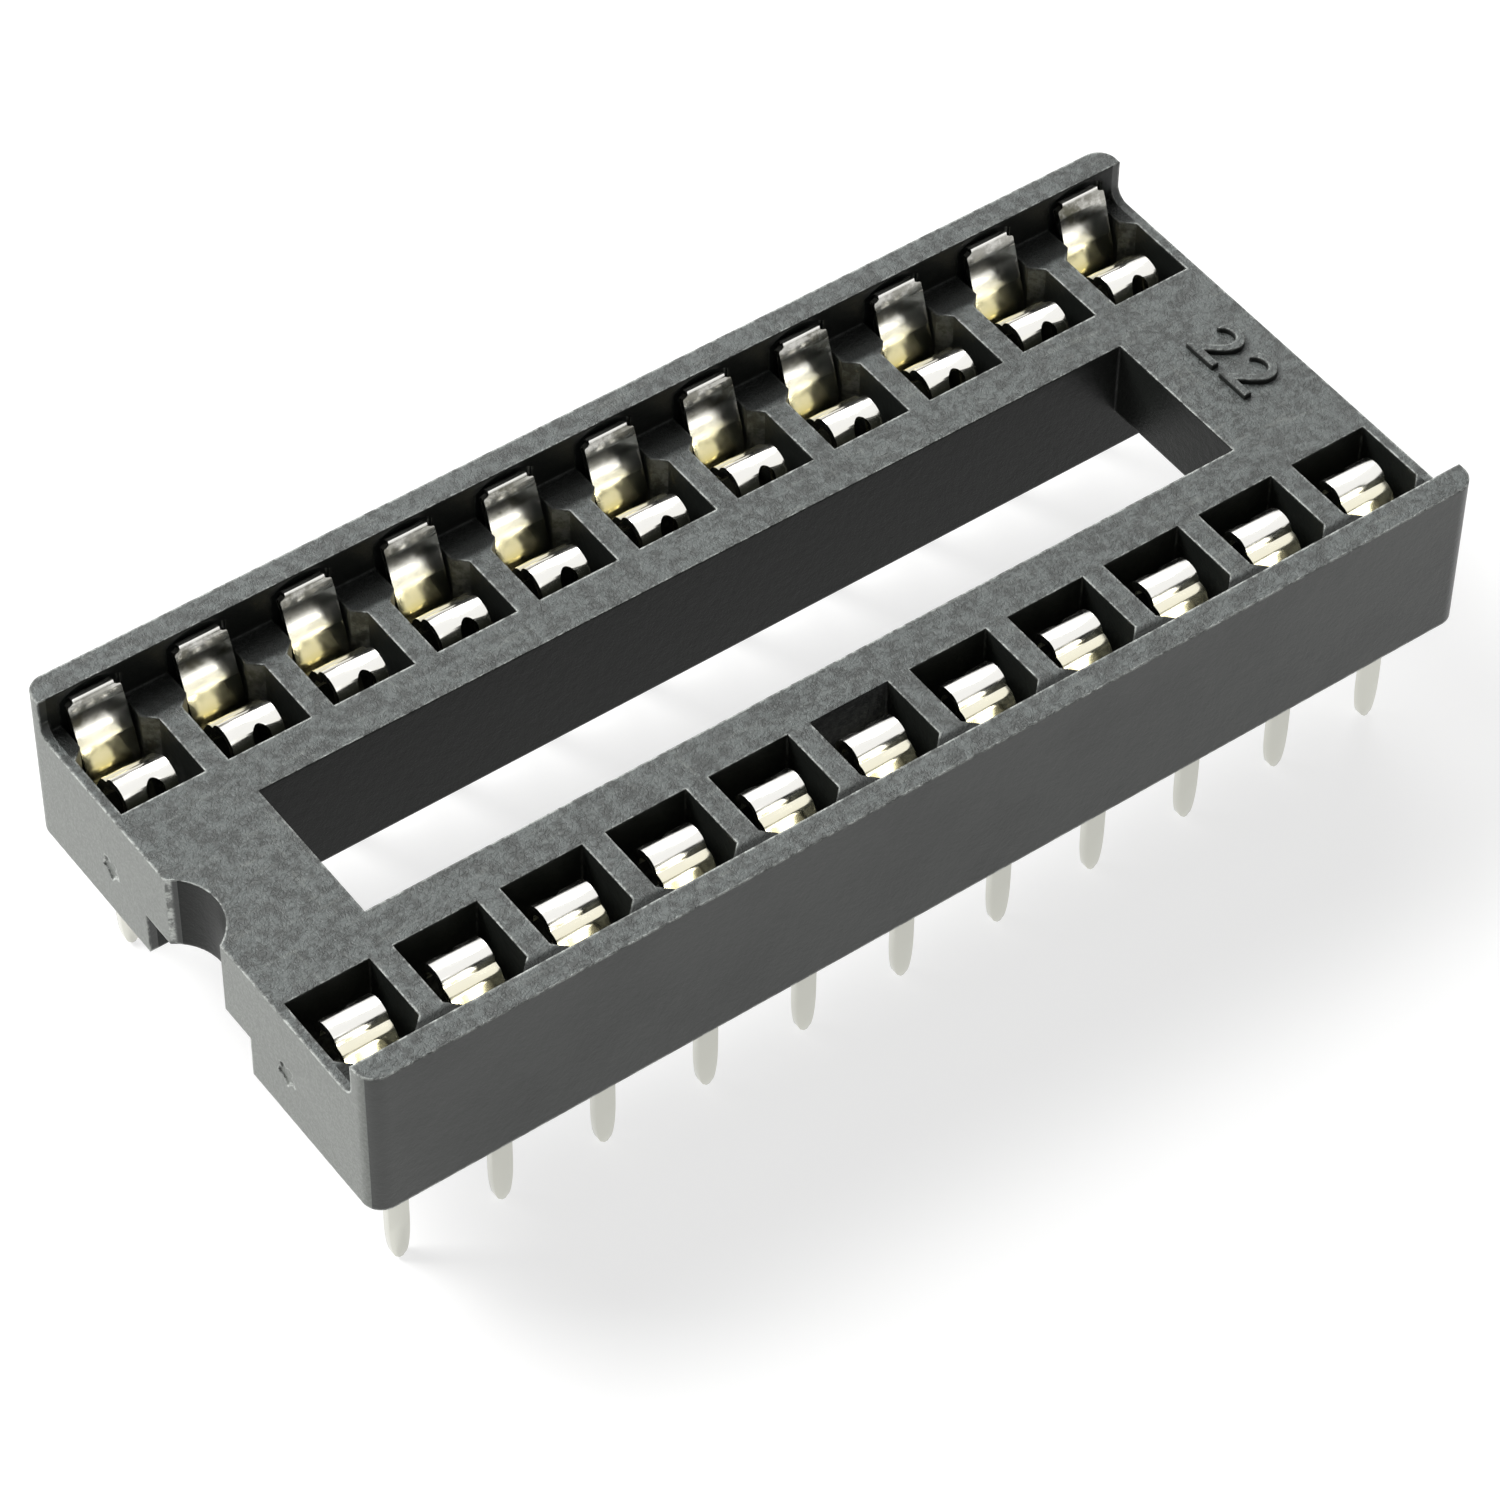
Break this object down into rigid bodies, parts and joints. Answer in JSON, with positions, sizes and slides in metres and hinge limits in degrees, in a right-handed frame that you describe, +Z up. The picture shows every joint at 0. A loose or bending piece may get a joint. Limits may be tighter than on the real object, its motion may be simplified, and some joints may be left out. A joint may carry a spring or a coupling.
{
  "type": "dual-in-line integrated circuit socket",
  "caption": "Black open-frame dual-in-line integrated circuit socket with dual-leaf tin-plated contacts, an end notch and straight solder tails.",
  "frame": {"origin": "under the middle of the contact pattern, level with the tips of the solder tails", "axes": "+X along the rows, from the notched end to the plain end; +Y from the front row to the back row; +Z up, the way the chip is lifted out"},
  "size_m": [0.0278, 0.0126, 0.0076],
  "materials": {
    "housing": "moulded black glass-filled thermoplastic, rough tops with pale worn edges, smoother sides",
    "tin": "bright tin plating, warm and slightly stained"
  },
  "bodies": {
    "root": {"housing": "housing", "contact_01": "tin", "contact_02": "tin", "contact_03": "tin", "contact_04": "tin", "contact_05": "tin", "contact_06": "tin", "contact_07": "tin", "contact_08": "tin", "contact_09": "tin", "contact_10": "tin", "contact_11": "tin", "contact_12": "tin", "contact_13": "tin", "contact_14": "tin", "contact_15": "tin", "contact_16": "tin", "contact_17": "tin", "contact_18": "tin", "contact_19": "tin", "contact_20": "tin", "contact_21": "tin", "contact_22": "tin"}
  },
  "joints": []
}
